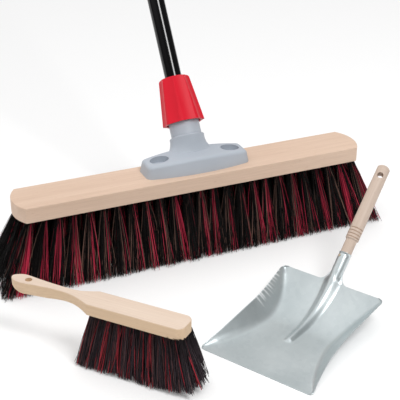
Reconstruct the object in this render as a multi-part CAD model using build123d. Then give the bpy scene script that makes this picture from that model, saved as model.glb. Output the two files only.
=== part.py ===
from build123d import *
import os
from math import atan2, cos, degrees, pi, radians, sin, tan

# All sizes in millimetres, angles in degrees. The three articles are laid out on one floor, z = 0.
# The layout frame has X along the broom's block, Y towards the back and Z up.

# Clearances
slip_gap = 0.3              # between pieces that move against each other
hole_gap = 0.1              # around a screw, nail or plug in its hole

# Broom block
block_length = 600.0        # over the bowed ends
block_width = 75.0
block_height = 25.6
block_end_bow = 13.0        # how far each end bows out past its corners
block_corner_round = 3.0
block_top_round = 1.5
block_under_round = 1.5

# Broom tufts
broom_trim = 112.3          # free bristle length, block underside to floor
broom_rows = 5
broom_row_margin = 9.5      # block side to the outer row's holes
broom_end_margin = 19.0     # block end to the first hole of a full row
broom_tuft_pitch = 23.4
broom_hole_depth = 14.0
broom_root_radius = 3.0
broom_tip_radius = 10.0
broom_side_lean = 18.0      # how far the outer rows' tips stand out past their holes
broom_end_lean = 40.0       # the same for the last tufts at each end

# Socket on the block
socket_place = (5.5, 4.0)   # flange's middle on the block
flange_length = 180.0
flange_width = 62.0         # at its middle
flange_side_bow = 10.0      # how far each long side bows out past its corners
flange_height = 25.0        # at the crown, under the hump
flange_end_height = 19.0    # the top arches down to its ends
flange_corner_round = 11.0
flange_top_round = 6.5
flange_draft = 12.0         # lean of the flange's side walls
screw_spacing = 124.0
pit_half_length = 15.8      # oval recess round each screw
pit_half_width = 12.3
pit_floor = 12.0            # plastic left under the recess
axis_lean = 33.8            # handle axis, back from the vertical
axis_setback = 8.0          # handle axis at the block's top, behind the flange's middle
hump_rise = 47.0            # along the axis, from the block's top to the hump's rim
hump_foot_level = 20.0      # the hump's flared foot starts inside the flange at this height
hump_foot_half_length = 52.0
hump_foot_half_width = 18.0
hump_waist_rise = 29.0      # along the axis, to the end of the flare
hump_waist_half_length = 33.5
hump_waist_half_width = 21.0
hump_rim_ledge = 3.8        # the hump's rim stands out past the neck by this
hump_rim_round = 2.0
bore_floor_rise = 3.0       # bottom of the handle's bore, above the hump's rim
stem_root = 1.0             # the neck starts this far inside the hump
neck_show = 22.0            # bare neck between the hump's rim and the nut
neck_wall = 10.8
thread_wall = 6.7
collet_tip_wall = 3.2
neck_in_nut = 11.0          # neck, threaded part and cone inside the nut
thread_length = 36.0
collet_length = 22.0
collet_slots = 4
collet_slot_width = 3.0
collet_slot_depth = 30.0

# Clamp nut
nut_skirt_gap = 3.3         # open ring between the neck and the nut's skirt
nut_skirt_wall = 6.5
nut_crown_wall = 11.0       # ring round the handle at the nut's top
nut_crown_height = 7.0
nut_top_round = 4.0
nut_flutes = 8
nut_flute_depth = 2.6
nut_flute_radius = 45.0

# Wood screws
screw_shank_radius = 2.25
screw_head_radius = 5.0
screw_head_height = 2.8
screw_end_cover = 1.5       # wood between the screw's point and the tuft holes
screw_point = 5.0

# Broom handle
handle_radius = 14.0
handle_wall = 0.45
handle_length = 1200.0
cap_plug_length = 25.0
cap_length = 34.0
cap_collar = 9.0
cap_tip_radius = 10.0
cap_dome = 5.0
cap_tab_thickness = 12.0
hang_hole_radius = 4.0
cap_hole_from_end = 12.0

# Hand brush: x runs from the handle's tip to the block's toe
stock_length = 276.0
stock_thickness = 17.5
stock_half_width = 18.0
stock_block_length = 144.0
grip_half_width = 10.4
waist_half_width = 7.2
waist_place = 0.773         # narrowest place of the handle, as a share of its length from the tip
toe_round = 11.0
heel_round = 9.0
stock_hole_radius = 5.0
stock_hole_from_tip = 28.0
tip_round = 9.0             # the handle's tip is nearly a half circle
stock_edge_round = 1.6
heel_slope = 0.45           # the handle's edges leave the block at this slope
belly_at_tip = 0.45         # share of the thickness that is cut away below the handle
belly_at_hole = 0.08
belly_at_waist = 0.16
belly_hole_from_tip = 16.8
belly_waist_place = 0.66    # where the cut is deepest, as a share of the handle's length
brush_trim = 81.6
brush_rows = 3
brush_row_margin = 7.0
brush_end_margin = 8.5
brush_tuft_pitch = 12.6
brush_hole_depth = 11.0
brush_root_radius = 2.6
brush_tip_radius = 6.4
brush_side_lean = 11.0
brush_heel_lean = 16.0
brush_toe_lean = 9.0
brush_place = (-339.0, -151.2)   # handle tip in the layout
brush_turn = -49.3

# Dustpan: x along the front lip, y towards the back
sheet = 0.8
pan_flat = 116.0            # flat floor, front lip to where the floor starts to rise
pan_bend_radius = 138.0     # the floor's long rise to the back edge
pan_rise_angle = 43.6       # slope of the back edge, the neck and the grip
pan_front_half = 92.5
pan_waist_half = 80.0
pan_back_half = 87.0
pan_wall_reach = 25.0       # how far the side wall leans out at its deepest place
pan_wall_rise = 25.0        # how far it rises above the floor at its highest place
pan_stations = 12           # cuts across the pan that its surface is drawn through
wall_lip = 0.08             # share of the wall that is left at its two ends
wall_reach_power = 0.85     # below 1, the wall keeps its full reach over more of its length
wall_reach_shift = 1.25     # above 1, the wall leans out most behind the pan's middle
wall_rise_power = 0.7
wall_rise_shift = 1.3       # above 1, the wall is highest behind the pan's middle
pan_front_round = 7.0
pan_back_round = 9.0
neck_length = 48.0          # past the back edge
neck_web_round = 13.0       # fillet between the back edge and the neck
rib_start = 84.0            # floor length in front of the rib
rib_start_radius = 10.0
rib_dive = 1.5              # depth of the rib's front end below the floor
rib_shares = (0, 0.08, 0.25, 0.5, 0.75, 1)   # where along it the rib's shape is set
rib_rise_power = 0.6        # below 1, the rib comes up steeply at its front end
pan_place = (-65.2, -366.9)      # middle of the front lip in the layout
pan_turn = -59.8

# Pan grip, along the neck's axis from the neck's rim
grip_length = 152.0
grip_spigot_length = 34.0   # hidden in the neck
grip_neck_length = 24.0     # slim stretch between the rim and the rings
grip_neck_radius = 8.6
grip_radius = 10.4
grip_end_radius = 10.0
ring_zone = 20.0
ring_count = 4
ring_depth = 0.9
ring_half_width = 0.8
grip_hole_from_end = 19.5
grip_hole_radius = 4.8
grip_hole_turn = 18.0       # the hole is turned out of the pan's middle plane
nail_from_rim = 7.0
nail_radius = 0.9
nail_head_radius = 2.0
nail_head_height = 0.7
nail_length = 11.0
nail_turn = -25.0


def frustum(low_points, high_points):
    """Closed solid between two flat polygons whose edges run parallel."""
    count = len(low_points)
    faces = [Face(Wire.make_polygon(low_points[::-1])), Face(Wire.make_polygon(high_points))]
    for k in range(count):
        n = (k + 1) % count
        corners = [low_points[k], low_points[n], high_points[n], high_points[k]]
        faces.append(Face(Wire.make_polygon(corners)))
    return Solid(Shell(faces))


def hexagon(center, radius):
    """Corners of a level hexagon."""
    x, y, z = center
    return [(x + radius * cos(k * pi / 3), y + radius * sin(k * pi / 3), z) for k in range(6)]


def dome(radius, height, foot):
    """Arc of a round top that ends square on the axis, from the edge up to the crown."""
    ball = (radius * radius + height * height) / (2 * height)
    half_angle = atan2(radius, ball - height) / 2
    middle = (ball * sin(half_angle), foot + height - ball + ball * cos(half_angle))
    return ThreePointArc((radius, foot), middle, (0, foot + height))


def tuft(root, tip, root_radius, tip_radius):
    """One bundle of bristles, from the bottom of its hole down to its trimmed tips."""
    return frustum(hexagon(tip, tip_radius), hexagon(root, root_radius))


def spread(count, gap):
    """Places of a row of things, evenly spaced about zero."""
    return [(k - (count - 1) / 2) * gap for k in range(count)]


# Broom: block and tufts
block_under = broom_trim
block_top = block_under + block_height
screw_length = pit_floor + block_height - broom_hole_depth - screw_end_cover


def broom_tuft_rows():
    """The tufts of each row; every second row is staggered by half a pitch."""
    usable = block_length - 2 * broom_end_margin
    full = 1 + int(usable / broom_tuft_pitch)
    outer_y = block_width / 2 - broom_row_margin
    end_x = (full - 1) / 2 * broom_tuft_pitch
    rows = []
    for row, y in enumerate(spread(broom_rows, 2 * outer_y / (broom_rows - 1))):
        places = spread(full - row % 2, broom_tuft_pitch)
        tufts = []
        for x in places:
            out = (abs(x) / end_x) ** 3 * (1 if x > 0 else -1)
            drop = broom_hole_depth / broom_trim
            lean_x = broom_end_lean * out
            lean_y = broom_side_lean * y / outer_y
            root = (x - lean_x * drop, y - lean_y * drop, block_under + broom_hole_depth)
            tip = (x + lean_x, y + lean_y, 0)
            tufts.append(tuft(root, tip, broom_root_radius, broom_tip_radius))
        rows.append(tufts)
    return rows


def broom_block(rows):
    """Beech head with bowed ends, drilled for the tufts and the two screws."""
    corner_x = block_length / 2 - block_end_bow
    side_y = block_width / 2
    outline = Line((-corner_x, side_y), (corner_x, side_y))
    outline += Line((-corner_x, -side_y), (corner_x, -side_y))
    for side in (-1, 1):
        outline += ThreePointArc(
            (side * corner_x, -side_y), (side * block_length / 2, 0), (side * corner_x, side_y)
        )
    plan = make_face(outline.edges())
    plan = fillet(plan.vertices(), block_corner_round)
    block = extrude(Pos(0, 0, block_under) * plan, block_height)
    block = fillet(block.edges().group_by(Axis.Z)[-1], block_top_round)
    block = fillet(block.edges().group_by(Axis.Z)[0], block_under_round)
    block -= [solid for row in rows for solid in row]
    pilot_depth = screw_length - pit_floor
    pilot = Cylinder(screw_shank_radius + hole_gap, pilot_depth + 2 * hole_gap)
    for x in spread(2, screw_spacing):
        block -= socket_frame * Pos(x, 0, -pilot_depth / 2) * pilot
    return block


# Broom: socket, screws, nut and handle share the handle's axis
socket_frame = Pos(*socket_place, block_top)
axis_plane = Plane(
    origin=(socket_place[0], socket_place[1] + axis_setback, block_top),
    x_dir=(1, 0, 0),
    z_dir=(0, sin(radians(axis_lean)), cos(radians(axis_lean))),
)
bore_radius = handle_radius + slip_gap
neck_radius = bore_radius + neck_wall
thread_radius = bore_radius + thread_wall
collet_tip_radius = bore_radius + collet_tip_wall
bore_floor = hump_rise + bore_floor_rise
nut_foot = hump_rise + neck_show
thread_foot = nut_foot + neck_in_nut
cone_foot = thread_foot + thread_length
collet_end = cone_foot + collet_length
nut_top = collet_end + slip_gap + nut_crown_height


def flange_plan():
    """Outline of the flange on the block, with bowed long sides."""
    end_x = flange_length / 2
    side_y = flange_width / 2
    corner_y = side_y - flange_side_bow
    outline = Line((-end_x, corner_y), (-end_x, -corner_y))
    outline += Line((end_x, -corner_y), (end_x, corner_y))
    for side in (-1, 1):
        outline += ThreePointArc((-end_x, side * corner_y), (0, side * side_y), (end_x, side * corner_y))
    plan = make_face(outline.edges())
    return fillet(plan.vertices(), flange_corner_round)


def handle_socket():
    """Flange, hump, neck and slotted collet, moulded as one."""
    flange = extrude(flange_plan(), flange_height, taper=flange_draft)
    end_x = flange_length / 2
    arch = Polyline((-end_x, flange_end_height), (-end_x, 0), (end_x, 0), (end_x, flange_end_height))
    arch += ThreePointArc((-end_x, flange_end_height), (0, flange_height), (end_x, flange_end_height))
    flange &= extrude(Plane.XZ * make_face(arch.edges()), flange_width, both=True)
    flange = fillet(flange.faces().sort_by(Axis.Z)[-1].edges(), flange_top_round)
    flange = socket_frame * flange

    foot_place = socket_frame * Pos(0, axis_setback, hump_foot_level)
    foot = foot_place * Ellipse(hump_foot_half_length, hump_foot_half_width)
    waist_lean = radians(axis_lean / 2)
    waist_plane = Plane(
        origin=axis_plane.offset(hump_waist_rise).origin,
        x_dir=(1, 0, 0),
        z_dir=(0, sin(waist_lean), cos(waist_lean)),
    )
    waist = waist_plane * Ellipse(hump_waist_half_length, hump_waist_half_width)
    rim = axis_plane.offset(hump_rise) * Circle(neck_radius + hump_rim_ledge)
    hump = loft([foot.face(), waist.face(), rim.face()])
    hump = fillet(hump.edges().sort_by(axis_plane.location.z_axis)[-1], hump_rim_round)
    socket = flange + hump

    stem = Polyline(
        (0, hump_rise - stem_root),
        (neck_radius, hump_rise - stem_root),
        (neck_radius, thread_foot),
        (thread_radius, thread_foot),
        (thread_radius, cone_foot),
        (collet_tip_radius, collet_end),
        (0, collet_end),
        close=True,
    )
    socket += axis_plane * revolve(Plane.XZ * make_face(stem), Axis.Z)
    bore_depth = collet_end - bore_floor
    socket -= axis_plane * Pos(0, 0, bore_floor + bore_depth / 2) * Cylinder(bore_radius, bore_depth)
    for k in range(collet_slots // 2):
        turn = 360 * (k + 0.5) / collet_slots
        slot = Box(2 * neck_radius, collet_slot_width, collet_slot_depth)
        slot = Rot(0, 0, turn) * Pos(0, 0, collet_end - collet_slot_depth / 2) * slot
        socket -= axis_plane * slot

    pit = extrude(Ellipse(pit_half_length, pit_half_width), flange_height)
    screw_hole = Cylinder(screw_shank_radius + hole_gap, 4 * pit_floor)
    for x in spread(2, screw_spacing):
        socket -= socket_frame * Pos(x, 0, pit_floor) * pit
        socket -= socket_frame * Pos(x, 0, 0) * screw_hole
    return socket


def socket_screws():
    """Two round-head wood screws seated on the floors of the recesses."""
    profile = Polyline(
        (0, -screw_length),
        (screw_shank_radius, screw_point - screw_length),
        (screw_shank_radius, 0),
        (screw_head_radius, 0),
    )
    profile += dome(screw_head_radius, screw_head_height, 0)
    profile += Line((0, screw_head_height), (0, -screw_length))
    screw = revolve(Plane.XZ * make_face(profile.edges()), Axis.Z)
    return [socket_frame * Pos(x, 0, pit_floor) * screw for x in spread(2, screw_spacing)]


def clamp_nut():
    """Fluted cone that screws down over the collet."""
    foot_radius = neck_radius + nut_skirt_gap + nut_skirt_wall
    crown_radius = bore_radius + nut_crown_wall
    inner_thread = thread_radius + slip_gap
    inner_tip = collet_tip_radius + slip_gap
    height = nut_top - nut_foot
    body = Polyline(
        (0, nut_foot),
        (foot_radius, nut_foot),
        (crown_radius, nut_top),
        (0, nut_top),
        close=True,
    )
    nut = revolve(Plane.XZ * make_face(body), Axis.Z)
    nut = fillet(nut.edges().group_by(Axis.Z)[-1], nut_top_round)
    side_tilt = degrees(atan2(foot_radius - crown_radius, height))
    middle_radius = (foot_radius + crown_radius) / 2
    cutter = Cylinder(nut_flute_radius, 2 * height)
    cutter = Rot(0, -side_tilt, 0) * cutter
    reach = middle_radius - nut_flute_depth + nut_flute_radius
    cutter = Pos(reach, 0, nut_foot + height / 2) * cutter
    nut -= [Rot(0, 0, 360 * k / nut_flutes) * cutter for k in range(nut_flutes)]
    hollow = Polyline(
        (0, nut_foot),
        (neck_radius + nut_skirt_gap, nut_foot),
        (neck_radius + nut_skirt_gap, thread_foot + 2 * slip_gap),
        (inner_thread, thread_foot + 2 * slip_gap),
        (inner_thread, cone_foot),
        (inner_tip, collet_end + slip_gap),
        (bore_radius, collet_end + slip_gap),
        (bore_radius, nut_top),
        (0, nut_top),
        close=True,
    )
    nut -= revolve(Plane.XZ * make_face(hollow), Axis.Z)
    return axis_plane * nut


handle_foot = bore_floor + slip_gap
handle_end = handle_foot + handle_length


def broom_handle():
    """Thin painted tube."""
    tube = Cylinder(handle_radius, handle_length) - Cylinder(handle_radius - handle_wall, handle_length)
    return axis_plane * Pos(0, 0, handle_foot + handle_length / 2) * tube


def handle_hanger_cap():
    """Plug with a flattened tab and a hanging hole."""
    plug_radius = handle_radius - handle_wall - hole_gap
    profile = Polyline(
        (0, -cap_plug_length),
        (plug_radius, -cap_plug_length),
        (plug_radius, 0),
        (handle_radius, 0),
        (handle_radius, cap_collar),
        (cap_tip_radius, cap_length - cap_dome),
    )
    profile += dome(cap_tip_radius, cap_dome, cap_length - cap_dome)
    profile += Line((0, cap_length), (0, -cap_plug_length))
    cap = revolve(Plane.XZ * make_face(profile.edges()), Axis.Z)
    tab_length = cap_length - cap_collar
    for side in (-1, 1):
        cheek = Box(handle_radius, 2 * handle_radius, tab_length)
        cheek_x = side * (cap_tab_thickness + handle_radius) / 2
        cap -= Pos(cheek_x, 0, cap_length - tab_length / 2) * cheek
    hole = Rot(0, 90, 0) * Cylinder(hang_hole_radius, 2 * handle_radius)
    cap -= Pos(0, 0, cap_length - cap_hole_from_end) * hole
    return axis_plane * Pos(0, 0, handle_end) * cap


# Hand brush
heel_x = stock_length - stock_block_length


def brush_tuft_rows():
    """Three rows, the middle one staggered; the tips spread past the block all round."""
    first_x = heel_x + brush_end_margin
    last_x = stock_length - brush_end_margin
    full = 1 + int((last_x - first_x) / brush_tuft_pitch)
    middle_x = (first_x + last_x) / 2
    half_run = (full - 1) / 2 * brush_tuft_pitch
    outer_y = stock_half_width - brush_row_margin
    drop = brush_hole_depth / brush_trim
    rows = []
    for row, y in enumerate(spread(brush_rows, 2 * outer_y / (brush_rows - 1))):
        tufts = []
        for x in spread(full - row % 2, brush_tuft_pitch):
            lean_x = (brush_toe_lean if x > 0 else brush_heel_lean) * x / half_run
            lean_y = brush_side_lean * y / outer_y
            root = (middle_x + x - lean_x * drop, y - lean_y * drop, brush_trim + brush_hole_depth)
            tip = (middle_x + x + lean_x, y + lean_y, 0)
            tufts.append(tuft(root, tip, brush_root_radius, brush_tip_radius))
        rows.append(tufts)
    return rows


def brush_stock(rows):
    """Block and handle in one piece of wood, sawn to the plan and to the side view."""
    waist_x = heel_x * waist_place
    handle_edge = Spline(
        (heel_x, -stock_half_width),
        (waist_x, -waist_half_width),
        (stock_hole_from_tip, -grip_half_width),
        (tip_round, -tip_round),
        (0, 0),
        (tip_round, tip_round),
        (stock_hole_from_tip, grip_half_width),
        (waist_x, waist_half_width),
        (heel_x, stock_half_width),
        tangents=[(-1, heel_slope), (1, heel_slope)],
    )
    block_edge = Polyline(
        (heel_x, stock_half_width),
        (stock_length, stock_half_width),
        (stock_length, -stock_half_width),
        (heel_x, -stock_half_width),
    )
    plan = make_face([*handle_edge.edges(), *block_edge.edges()])
    plan = fillet(plan.vertices().group_by(Axis.X)[-1], toe_round)
    plan = fillet(plan.vertices().group_by(Axis.Y)[-1].sort_by(Axis.X)[0], heel_round)
    plan = fillet(plan.vertices().group_by(Axis.Y)[0].sort_by(Axis.X)[0], heel_round)
    stock = extrude(plan, stock_thickness)
    stock = fillet(stock.edges().group_by(Axis.Z)[-1], stock_edge_round)

    belly = Spline(
        (0, stock_thickness * belly_at_tip),
        (belly_hole_from_tip, stock_thickness * belly_at_hole),
        (heel_x * belly_waist_place, stock_thickness * belly_at_waist),
        (heel_x, 0),
    )
    side_view = belly + Polyline(
        (heel_x, 0),
        (stock_length, 0),
        (stock_length, stock_thickness),
        (0, stock_thickness),
        (0, stock_thickness * belly_at_tip),
    )
    side_face = Plane.XZ * make_face(side_view.edges())
    stock &= extrude(side_face, 2 * stock_half_width, both=True)
    stock -= Pos(stock_hole_from_tip, 0) * Cylinder(stock_hole_radius, 4 * stock_thickness)
    stock = Pos(0, 0, brush_trim) * stock
    return stock - [solid for row in rows for solid in row]


# Dustpan
rise = radians(pan_rise_angle)
pan_bend_length = pan_bend_radius * rise
back_edge_y = pan_flat + pan_bend_radius * sin(rise)
back_edge_z = pan_bend_radius * (1 - cos(rise))


def scoop_plane(run):
    """Plane across the pan at a length along its floor, with its Y square to the sheet."""
    bend = max(0.0, run - pan_flat) / pan_bend_radius
    straight = min(run, pan_flat)
    y = straight + pan_bend_radius * sin(bend)
    z = pan_bend_radius * (1 - cos(bend))
    return Plane(origin=(0, y, z), x_dir=(1, 0, 0), z_dir=(0, -cos(bend), -sin(bend)))


neck_plane = Plane(
    origin=(0, back_edge_y, back_edge_z),
    x_dir=(1, 0, 0),
    z_dir=(0, cos(rise), sin(rise)),
)


neck_inner_radius = grip_neck_radius + hole_gap
neck_outer_radius = neck_inner_radius + sheet
scoop_run = pan_flat + pan_bend_length


def pan_section(run, floor_half, reach, height, low, high):
    """Cut across the pan: floor, folds and side walls, between two heights above the underside."""
    slope = atan2(height, reach)

    def fold_and_rim(level):
        fold = (floor_half - level * tan(slope / 2), level)
        rim = (floor_half + reach - level * sin(slope), height + level * cos(slope))
        return [fold, rim]

    right = fold_and_rim(low) + fold_and_rim(high)[::-1]
    left = [(-x, y) for x, y in reversed(right)]
    return scoop_plane(run) * make_face(Polyline(*right, *left, close=True).edges())


def pan_tray(low, high):
    """Floor, back and side walls, lofted along the floor from the front lip to the back edge."""
    sections = []
    for k in range(pan_stations + 1):
        share = k / pan_stations
        straight = pan_front_half + (pan_back_half - pan_front_half) * share
        top_half = straight - (straight - pan_waist_half) * 4 * share * (1 - share)
        reach_share = sin(pi * share**wall_reach_shift) ** wall_reach_power
        rise_share = sin(pi * share**wall_rise_shift) ** wall_rise_power
        reach = pan_wall_reach * max(wall_lip, reach_share)
        height = pan_wall_rise * max(wall_lip * share, rise_share)
        section = pan_section(scoop_run * share, top_half - reach, reach, height, low, high)
        sections.append(section.face())
    return loft(sections)


def rib_body(shrink):
    """Round body that the rib is pressed over; it dives below the floor at its front end."""
    sections = []
    for share in rib_shares:
        run = rib_start + (scoop_run - rib_start) * share
        radius = rib_start_radius + (neck_outer_radius - rib_start_radius) * share
        show = (neck_outer_radius + rib_dive) * share**rib_rise_power - rib_dive
        sections.append((scoop_plane(run) * Pos(0, show - radius) * Circle(radius - shrink)).face())
    return loft(sections)


corner_margin = 0.01        # a corner cutter stands this far outside the edge that it rounds
cutter_overrun = 1.02       # its square is larger than its arc by this factor


def corner_cutter(x, y, round_radius):
    """Prism that rounds off the corner of a sheet which lies inside of (x, y)."""
    side = 1 if x > 0 else -1
    up = 1 if y > 0 else -1
    square_side = cutter_overrun * round_radius
    square = Rectangle(square_side, square_side)
    square = Pos(x - side * round_radius / 2, y - up * round_radius / 2) * square
    disc = Pos(x - side * round_radius, y - up * round_radius) * Circle(round_radius)
    return extrude(square - disc, 4 * pan_wall_rise, both=True)


def pan_sheet():
    """Tray, pressed rib and rolled neck from one sheet."""
    tray = pan_tray(0, sheet)
    rib = rib_body(0) & pan_tray(sheet / 2, 1.5 * neck_outer_radius)
    neck = extrude(neck_plane * Circle(neck_outer_radius), neck_length)
    bore = extrude(neck_plane * Circle(neck_inner_radius), neck_length)

    sheet_plane = Plane(origin=neck_plane.origin, x_dir=(1, 0, 0), z_dir=(0, -sin(rise), cos(rise)))
    web_half = neck_outer_radius + neck_web_round
    web = Pos(0, neck_web_round / 2) * Rectangle(2 * web_half, neck_web_round)
    for side in (-1, 1):
        web -= Pos(side * web_half, neck_web_round) * Circle(neck_web_round)
    web = extrude(sheet_plane * web, sheet)

    pan = tray + rib + neck + web - rib_body(sheet) - bore
    for side in (-1, 1):
        pan -= corner_cutter(side * pan_front_half, -corner_margin, pan_front_round)
        pan -= sheet_plane * corner_cutter(side * pan_back_half, corner_margin, pan_back_round)
    nail_hole = nail_frame * Cylinder(nail_radius + hole_gap, 2 * neck_outer_radius)
    return pan - nail_hole


# The nail goes in square to the neck, a little to the left of its upper side.
nail_frame = (
    neck_plane
    * Pos(0, 0, neck_length - nail_from_rim)
    * Rot(0, 0, nail_turn)
    * Pos(0, -neck_outer_radius - hole_gap, 0)
    * Rot(90, 0, 0)
)


def pan_grip():
    """Turned grip: spigot in the neck, slim neck, ring grooves and a rounded end."""
    body_foot = grip_neck_length
    end_dome = grip_end_radius / 2
    profile = Polyline(
        (0, -grip_spigot_length),
        (grip_neck_radius, -grip_spigot_length),
        (grip_neck_radius, body_foot - grip_radius + grip_neck_radius),
        (grip_radius, body_foot),
        (grip_radius, body_foot + ring_zone),
        (grip_end_radius, grip_length - end_dome),
    )
    profile += dome(grip_end_radius, end_dome, grip_length - end_dome)
    profile += Line((0, grip_length), (0, -grip_spigot_length))
    grip = revolve(Plane.XZ * make_face(profile.edges()), Axis.Z)
    ring_gap = ring_zone / ring_count
    for k in range(ring_count):
        level = body_foot + ring_gap * (k + 0.5)
        groove = Polyline(
            (grip_radius + ring_depth, level - 2 * ring_half_width),
            (grip_radius - ring_depth, level),
            (grip_radius + ring_depth, level + 2 * ring_half_width),
            close=True,
        )
        grip -= revolve(Plane.XZ * make_face(groove), Axis.Z)
    hole = Rot(0, 0, grip_hole_turn) * Rot(90, 0, 0) * Cylinder(grip_hole_radius, 4 * grip_radius)
    grip -= Pos(0, 0, grip_length - grip_hole_from_end) * hole
    grip = neck_plane * Pos(0, 0, neck_length) * grip
    nail_hole = Cylinder(nail_radius + hole_gap, nail_length + sheet)
    return grip - nail_frame * Pos(0, 0, -nail_length / 2) * nail_hole


def pan_grip_nail():
    """Round brad with a flat head that lies on the neck."""
    profile = Polyline(
        (0, -nail_length),
        (nail_radius, 2 * nail_radius - nail_length),
        (nail_radius, 0),
        (nail_head_radius, 0),
        (nail_head_radius, nail_head_height),
        (0, nail_head_height),
        close=True,
    )
    return nail_frame * revolve(Plane.XZ * make_face(profile), Axis.Z)


# Assembly: every node in the layout frame
broom_rows_made = broom_tuft_rows()
brush_rows_made = brush_tuft_rows()
brush_frame = Pos(*brush_place, 0) * Rot(0, 0, brush_turn)
pan_frame = Pos(*pan_place, 0) * Rot(0, 0, pan_turn)
nodes = {
    "broom_block": [broom_block(broom_rows_made)],
    "handle_socket": [handle_socket()],
    "socket_screws": socket_screws(),
    "clamp_nut": [clamp_nut()],
    "broom_handle": [broom_handle()],
    "handle_hanger_cap": [handle_hanger_cap()],
    "brush_stock": [brush_frame * brush_stock(brush_rows_made)],
    "pan_sheet": [pan_frame * pan_sheet()],
    "pan_grip": [pan_frame * pan_grip()],
    "pan_grip_nail": [pan_frame * pan_grip_nail()],
}
for row, tufts in enumerate(broom_rows_made, 1):
    nodes[f"broom_tufts_row_{row}"] = tufts
for row, tufts in enumerate(brush_rows_made, 1):
    nodes[f"brush_tufts_row_{row}"] = [brush_frame * solid for solid in tufts]

# The origin of the set is the middle of its footprint, on the floor.
whole = Compound([solid for shapes in nodes.values() for shape in shapes for solid in shape.solids()])
box = whole.bounding_box()
origin = Pos(-(box.min.X + box.max.X) / 2, -(box.min.Y + box.max.Y) / 2, -box.min.Z)

os.makedirs("parts", exist_ok=True)
for name, shapes in nodes.items():
    solids = [origin * solid for shape in shapes for solid in shape.solids()]
    export_step(Compound(children=solids), f"parts/{name}.step")

print("layout moved by", origin.position)
print("whole size", box.size)
print("handle axis through", (origin * axis_plane.location).position, "along", axis_plane.z_dir)
cap_hole = axis_plane * Pos(0, 0, handle_end + cap_length - cap_hole_from_end)
print("cap hole at", (origin * cap_hole).position)
stock_hole = brush_frame * Pos(stock_hole_from_tip, 0, brush_trim + stock_thickness / 2)
print("stock hole at", (origin * stock_hole).position)
grip_hole_place = neck_length + grip_length - grip_hole_from_end
grip_hole = pan_frame * neck_plane.location * Pos(0, 0, grip_hole_place) * Rot(0, 0, grip_hole_turn)
print("grip hole at", (origin * grip_hole).position, "along", grip_hole.y_axis.direction)
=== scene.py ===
# %% [markdown]
# # A broom, a hand brush and a dustpan
#
# The set has three articles: a push broom on its bristles with the handle leaning back, a hand brush
# and a pressed steel dustpan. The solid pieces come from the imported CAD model, which is the fixed frame
# for everything here. What Blender adds is what CAD leaves out: thousands of single bristles, the
# pressed sheet with its ridges, and the finish of every surface.

# %% Load the frame
from math import cos, pi, radians, sin, sqrt

import bpy
import numpy as np
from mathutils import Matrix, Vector


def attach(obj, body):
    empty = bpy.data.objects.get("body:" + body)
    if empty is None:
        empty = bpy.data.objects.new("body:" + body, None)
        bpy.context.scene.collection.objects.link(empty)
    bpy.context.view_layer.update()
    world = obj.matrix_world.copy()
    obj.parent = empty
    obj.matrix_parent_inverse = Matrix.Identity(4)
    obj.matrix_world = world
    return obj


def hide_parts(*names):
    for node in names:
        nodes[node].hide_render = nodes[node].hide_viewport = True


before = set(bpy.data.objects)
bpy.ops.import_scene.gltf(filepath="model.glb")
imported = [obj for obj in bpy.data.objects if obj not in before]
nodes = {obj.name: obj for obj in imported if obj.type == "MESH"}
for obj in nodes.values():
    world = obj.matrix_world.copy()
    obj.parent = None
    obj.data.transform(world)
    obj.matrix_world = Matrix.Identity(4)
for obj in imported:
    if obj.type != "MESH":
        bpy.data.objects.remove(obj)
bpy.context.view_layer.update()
mm = 0.001

# %% [markdown]
# ## Camera
#
# A product photograph like this one is taken from far away with a long lens, so that the near pan and
# the far handle keep their proportions. A 90 mm lens on a 36 mm sensor, looking down by 27 degrees, gives
# that view. The camera stands to the left of the broom's middle and turns a little to the right.

# %% Camera
camera_place = (-0.5675, -1.50205, 0.828)
camera_tilt = radians(63.035)
camera_turn = radians(-23.32)
camera_data = bpy.data.cameras.new("photo_camera")
camera_data.sensor_width = 36.0
camera_data.lens = 90.0
camera = bpy.data.objects.new("photo_camera", camera_data)
camera.location = camera_place
camera.rotation_euler = (camera_tilt, 0.0, camera_turn)
bpy.context.collection.objects.link(camera)
scene = bpy.context.scene
scene.camera = camera
scene.view_settings.view_transform = "Standard"
print("camera at", tuple(round(v, 3) for v in camera.location))

# %% [markdown]
# ## Materials from nodes
#
# Every finish below is a small node tree that ends in a Principled BSDF. Writing each tree node by node
# takes many lines, so three helpers do the plumbing: one starts a material, one adds a node and sets its
# inputs, one links an output to an input. Values that are the same all over a surface go straight onto
# the shader's own sockets.


# %% Node helpers
def new_material(name, **sockets):
    """A material with a Principled BSDF, whose plain sockets are set by name."""
    material = bpy.data.materials.new(name)
    material.use_nodes = True
    shader = material.node_tree.nodes["Principled BSDF"]
    for key, value in sockets.items():
        shader.inputs[key.replace("_", " ")].default_value = value
    return material, shader


def add(material, kind, inputs=None, **settings):
    """Adds a node. Inputs are numbers, tuples or other nodes' outputs."""
    node = material.node_tree.nodes.new(kind)
    for key, value in settings.items():
        setattr(node, key, value)
    for key, value in (inputs or {}).items():
        if isinstance(value, bpy.types.NodeSocket):
            material.node_tree.links.new(value, node.inputs[key])
        else:
            node.inputs[key].default_value = value
    return node


def link(material, output, target):
    """Links a node's output to an input."""
    material.node_tree.links.new(output, target)


# %% [markdown]
# A few nodes come back in every tree, and each gets a helper of its own. The first ones give values: the
# piece's own space, a noise, a value that is moved from one span to another, and the larger of two.


# %% Value helpers
def object_space(material):
    """The piece's own coordinates, so that a pattern moves with the piece."""
    return add(material, "ShaderNodeTexCoord").outputs["Object"]


def noise(material, place, detail, scale=1.0, **more):
    """Noise between 0 and 1 in a texture space."""
    inputs = {"Vector": place, "Scale": scale, "Detail": detail, **more}
    return add(material, "ShaderNodeTexNoise", inputs).outputs["Fac"]


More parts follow.
